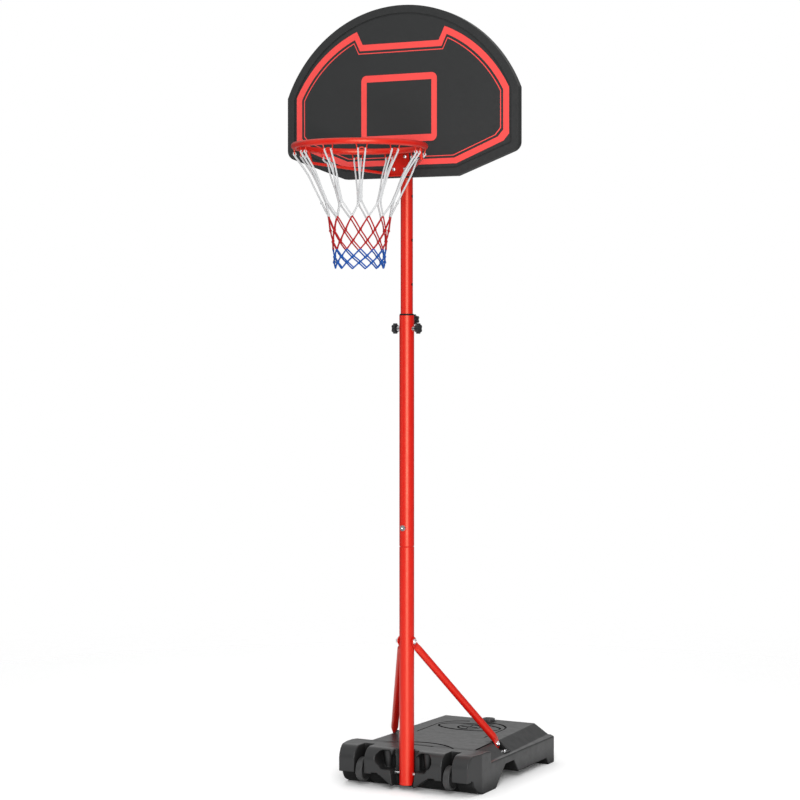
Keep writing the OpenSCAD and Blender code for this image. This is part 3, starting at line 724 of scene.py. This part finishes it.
def sleeve_lip():
    """The rounded top edge of the guide sleeve, round the mouth of the middle tube."""
    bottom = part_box("guide_sleeve")[1].z - 1.5 * MM
    inner = (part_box("upper_pole")[1].x - pole.x) + 0.4 * MM
    outer = pole_radius - 0.8 * MM
    top = 3.1 * MM
    sides = 72
    lip = Builder()
    rings = []
    for radius, z in ((inner, 0), (outer, 0), (outer, 1.9 * MM), (outer - 1 * MM, top), (inner, top)):
        rings.append([Vector((pole.x + radius * math.cos(TAU * k / sides),
                              pole.y + radius * math.sin(TAU * k / sides), bottom + z))
                      for k in range(sides)])
    lip.ring_strip(rings, [0, 0.2, 0.4, 0.6, 0.8], loop=True)
    add_object("guide_sleeve_lip", lip.mesh("guide_sleeve_lip"), BLACK_AND_PAINTED_SHADE, "stand")


# ---------- base tank ----------

def plug(radius, low, high, x, y):
    """A short cylinder that closes a hole before the tank is remeshed."""
    made = bmesh.new()
    bmesh.ops.create_cone(made, cap_ends=True, segments=48, radius1=radius, radius2=radius,
                          depth=high - low, matrix=Matrix.Translation((x, y, (low + high) / 2)))
    mesh = bpy.data.meshes.new("plug")
    made.to_mesh(mesh)
    made.free()
    return mesh


def join_meshes(name, meshes):
    made = bmesh.new()
    for mesh in meshes:
        made.from_mesh(mesh)
    joined = bpy.data.meshes.new(name)
    made.to_mesh(joined)
    made.free()
    return joined


def apply_modifiers(obj):
    graph = bpy.context.evaluated_depsgraph_get()
    baked = bpy.data.meshes.new_from_object(obj.evaluated_get(graph))
    obj.modifiers.clear()
    obj.data = baked


GROOVE = 4.2 * MM
GROOVE_WIDE = 10.5 * MM
GROOVE_DEPTH = 4.0 * MM
# the deck lies this far under the tank's highest point
DECK_DROP = 4 * MM


def groove_cutter(deck):
    """The moulded lines on the tank's top as one set of solid strips."""
    cutter = bmesh.new()
    low, high = -GROOVE_DEPTH, 12 * MM

    def strip(path, closed=False):
        """A wall that follows (x, y, z) points, wider where it runs across the tank."""
        count = len(path)
        rows = []
        for i in range(count):
            ahead = path[(i + 1) % count] if closed or i + 1 < count else path[i]
            behind = path[i - 1] if closed or i else path[i]
            along = Vector((ahead[0] - behind[0], ahead[1] - behind[1], 0)).normalized()
            width = GROOVE + (GROOVE_WIDE - GROOVE) * abs(along.x) ** 1.5
            side = Vector((-along.y, along.x, 0)) * width / 2
            at = Vector(path[i])
            rows.append([cutter.verts.new(at + s * side + Vector((0, 0, h)))
                         for s, h in ((1, low), (-1, low), (-1, high), (1, high))])
        last = count if closed else count - 1
        for i in range(last):
            a, b = rows[i], rows[(i + 1) % count]
            for k in range(4):
                cutter.faces.new((a[k], a[(k + 1) % 4], b[(k + 1) % 4], b[k]))
        if not closed:
            cutter.faces.new(rows[0][::-1])
            cutter.faces.new(rows[-1])

    def arc(x, y, radius, start, stop, z, steps=48):
        return [(x + radius * math.cos(math.radians(a)), pole.y + y + radius * math.sin(math.radians(a)), z)
                for a in np.linspace(start, stop, steps)]

    # an arch behind the pole, with a small hook at each end, and a shorter one inside it
    strip(arc(0, 14 * MM, 121 * MM, 27, 153, deck))
    strip(arc(0, -34 * MM, 116 * MM, 66, 114, deck))
    for side in (1, -1):
        # a line beside each strut's foot, which leans in towards the back
        strip([(side * (161.5 - 0.049 * (y - 98)) * MM, pole.y + y * MM, deck)
               for y in (96, 130, 165, 215)])
    # a panel line that frames the emblem
    half, front, bend = 107 * MM, 276 * MM, 408 * MM
    corner = 80 * MM
    for side in (1, -1):
        run = [(side * half, pole.y + front + t * (bend - front), deck) for t in np.linspace(0, 1, 8)]
        turn = arc(side * (half - corner), bend, corner, 0 if side > 0 else 180, 82 if side > 0 else 98,
                   deck, 24)
        strip(run + turn[1:])
    # a plain ball with its seams inside an oval
    centre_y = 404 * MM
    oval = [(96 * MM * math.cos(a), pole.y + centre_y + 50 * MM * math.sin(a), deck)
            for a in np.linspace(0, TAU, 96, endpoint=False)]
    strip(oval, closed=True)
    ball = 33 * MM
    strip(arc(0, centre_y, ball, 0, 355, deck, 72), closed=True)
    # the seams stop short of the ball's outline and of each other
    strip([(t * MM, pole.y + centre_y, deck) for t in np.linspace(-26, 26, 6)])
    for side in (1, -1):
        strip([(0, pole.y + centre_y + side * t * MM, deck) for t in (8, 16, 24)])
    mesh = bpy.data.meshes.new("groove_cutter")
    bmesh.ops.recalc_face_normals(cutter, faces=cutter.faces)
    cutter.to_mesh(mesh)
    cutter.free()
    # the cutter's faces carry the near-black material into the grooves it carves: painted shade
    mesh.materials.append(BLACK_AND_PAINTED_SHADE)
    obj = bpy.data.objects.new("groove_cutter", mesh)
    bpy.context.scene.collection.objects.link(obj)
    return obj


def blow_moulded_tank():
    """A copy of the CAD tank with softened edges and its moulded lines."""
    cap_low, cap_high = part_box("filler_cap")
    gasket_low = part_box("cap_gasket")[0].z
    cap = (cap_low + cap_high) / 2
    port = plug(15.3 * MM, cap_low.z - 6 * MM, gasket_low, cap.x, cap.y)
    meshes = [nodes["base_tank"].data, port]
    screw_low, screw_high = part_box("bracket_screws")
    for x in (-1, 1):
        for y in (screw_low.y + 5 * MM, screw_high.y - 5 * MM):
            meshes.append(plug(2.9 * MM, screw_low.z - 8 * MM, screw_high.z - 6 * MM,
                               x * (screw_high.x - 5 * MM), y))
    mesh = join_meshes("tank_shell", meshes)
    tank = add_object("tank_shell", mesh, TANK, "stand", ["base_tank"])
    remesh = tank.modifiers.new("remesh", "REMESH")
    remesh.mode = "VOXEL"
    remesh.voxel_size = 1.8 * MM
    relax = tank.modifiers.new("relax", "SMOOTH")
    relax.factor = 0.5
    relax.iterations = 5
    thin = tank.modifiers.new("thin", "DECIMATE")
    thin.ratio = 0.22
    apply_modifiers(tank)
    cutter = groove_cutter(tank_top - DECK_DROP)
    carve = tank.modifiers.new("carve", "BOOLEAN")
    carve.operation = "DIFFERENCE"
    carve.object = cutter
    carve.solver = "EXACT"
    # the carved groove walls take the cutter's near-black material, painted shade in the grooves
    carve.material_mode = "TRANSFER"
    apply_modifiers(tank)
    bpy.data.objects.remove(cutter)
    smooth(tank.data)


# ---------- camera, light and floor ----------

def photo_camera():
    """The viewing angle: 27 degrees to the right of the board's front, level, a long lens."""
    data = bpy.data.cameras.new("camera")
    data.lens = 96.66
    data.sensor_width = 36.0
    data.shift_y = -0.091
    camera = bpy.data.objects.new("camera", data)
    camera.location = (2.6838, pole.y - 5.2833, 1.2776)
    camera.rotation_euler = (math.radians(90), 0, math.radians(27.11))
    bpy.context.scene.collection.objects.link(camera)
    bpy.context.scene.camera = camera


def soft_light(name, place, target, size, power):
    data = bpy.data.lights.new(name, "AREA")
    data.shape = "RECTANGLE"
    data.size, data.size_y = size
    data.energy = power
    lamp = bpy.data.objects.new(name, data)
    lamp.location = place
    lamp.rotation_mode = "QUATERNION"
    lamp.rotation_quaternion = (Vector(target) - Vector(place)).to_track_quat("-Z", "Y")
    bpy.context.scene.collection.objects.link(lamp)


def studio():
    """A white world that lights the object softly, most from above, soft lamps and a pale floor."""
    world = bpy.data.worlds.new("studio")
    world.use_nodes = True
    tree = world.node_tree
    sky = tree.nodes["Background"]
    sky.inputs["Color"].default_value = (1, 1, 1, 1)
    split = tree.nodes.new("ShaderNodeSeparateXYZ")
    tree.links.new(tree.nodes.new("ShaderNodeTexCoord").outputs["Generated"], split.inputs["Vector"])
    ramp = tree.nodes.new("ShaderNodeMapRange")
    ramp.interpolation_type = "SMOOTHSTEP"
    ramp.inputs["From Min"].default_value = 0.05
    ramp.inputs["From Max"].default_value = 0.85
    ramp.inputs["To Min"].default_value = 0.20
    ramp.inputs["To Max"].default_value = 1.05
    tree.links.new(split.outputs["Z"], ramp.inputs["Value"])
    # seen straight on, the world is white all round
    seen = tree.nodes.new("ShaderNodeMix")
    seen.inputs["B"].default_value = 1.0
    tree.links.new(tree.nodes.new("ShaderNodeLightPath").outputs["Is Camera Ray"], seen.inputs["Factor"])
    tree.links.new(ramp.outputs["Result"], seen.inputs["A"])
    tree.links.new(seen.outputs["Result"], sky.inputs["Strength"])
    bpy.context.scene.world = world
    soft_light("key", (2.1, -3.6, 1.7), (0, 0, 1.0), (1.7, 3.2), 208)
    soft_light("low", (2.1, -3.6, 0.36), (0, 0, 0.3), (1.7, 0.6), 45)
    soft_light("fill", (-3.2, -2.6, 1.6), (0, 0, 0.9), (1.0, 2.4), 14)
    soft_light("rear", (-1.6, 3.4, 2.4), (0, 0, 1.0), (1.6, 2.4), 14)
    bpy.context.scene.view_settings.view_transform = "Standard"

    mesh = bpy.data.meshes.new("floor")
    reach = 4.0
    mesh.from_pydata([(-reach, -reach, 0), (reach, -reach, 0), (reach, reach, 0), (-reach, reach, 0)],
                     [], [(0, 1, 2, 3)])
    floor = bpy.data.objects.new("floor", mesh)
    bpy.context.scene.collection.objects.link(floor)
    f = Finish("floor_paint", (0.95, 0.95, 0.95), 0.9, specular=0.05)
    f.tint(f.spread(f.noise(3, 4), 0, 0.3), (0.93, 0.93, 0.93))
    # the floor thins out into the white behind it
    far = f.node("ShaderNodeVectorMath", operation="LENGTH")
    f.link(f.place(), far.inputs[0])
    fade = f.node("ShaderNodeMapRange", interpolation_type="SMOOTHSTEP")
    fade.inputs["From Min"].default_value = 0.9
    fade.inputs["From Max"].default_value = 3.6
    fade.inputs["To Min"].default_value = 1.0
    fade.inputs["To Max"].default_value = 0.0
    f.link(far.outputs["Value"], fade.inputs["Value"])
    f.link(fade.outputs["Result"], f.shader.inputs["Alpha"])
    paint(floor, f.material)


photo_camera()
studio()
finish_cad_nodes()
blow_moulded_tank()
hook_wires()
knotted_net()
bolt_heads()
for side in (1, -1):
    squashed_strut(side)
bore_painted_shade()
sleeve_lip()
